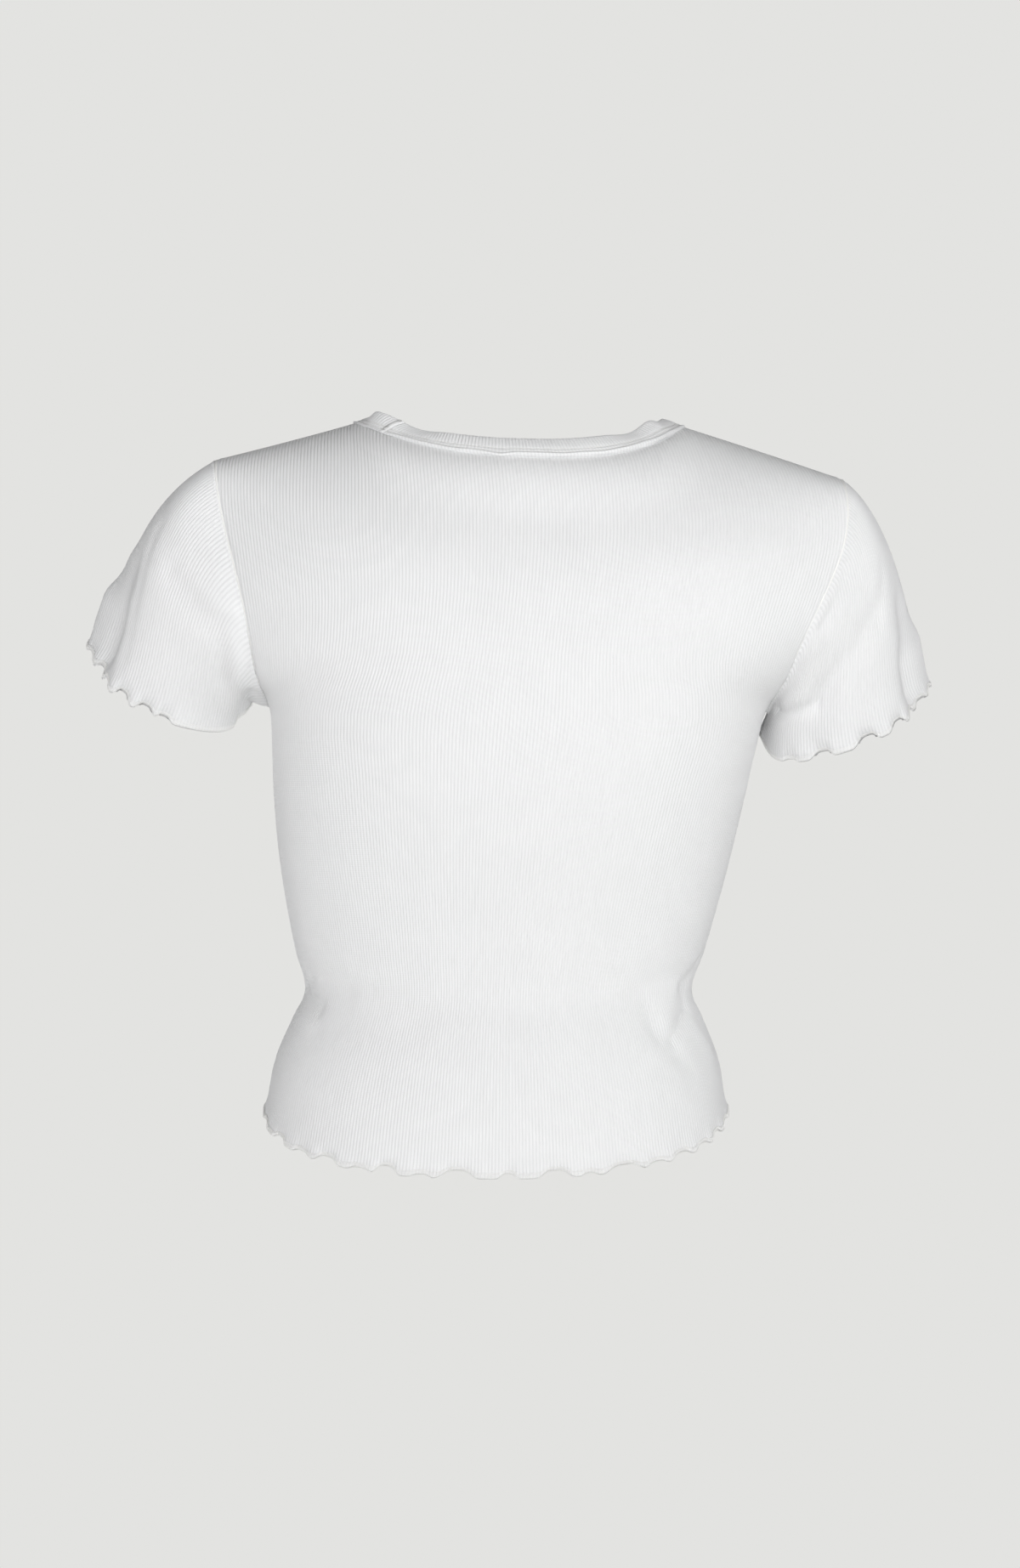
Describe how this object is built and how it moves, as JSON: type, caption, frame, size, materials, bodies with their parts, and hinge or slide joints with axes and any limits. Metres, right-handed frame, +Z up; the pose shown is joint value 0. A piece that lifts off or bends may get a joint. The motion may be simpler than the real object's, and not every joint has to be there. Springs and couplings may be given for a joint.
{
  "type": "ribbed short-sleeved t-shirt",
  "caption": "Short, close-fitting rib-knit t-shirt, hollow and upright as worn, with set-in short sleeves, a narrow neckband and waved hem and cuffs.",
  "frame": {"origin": "midway between the two neck ends of the shoulder seams, where the wearer's neck and shoulders hold the garment", "axes": "+Z up the wearer, -Y out of the wearer's back, +Y out of the chest, +X towards the wearer's right arm"},
  "size_m": [0.5364, 0.2222, 0.4716],
  "materials": {
    "rib_knit": "matt white cotton rib knit"
  },
  "bodies": {
    "root": {"back_panel": "rib_knit", "front_panel": "rib_knit", "left_sleeve": "rib_knit", "right_sleeve": "rib_knit", "neckband": "rib_knit"}
  },
  "joints": []
}
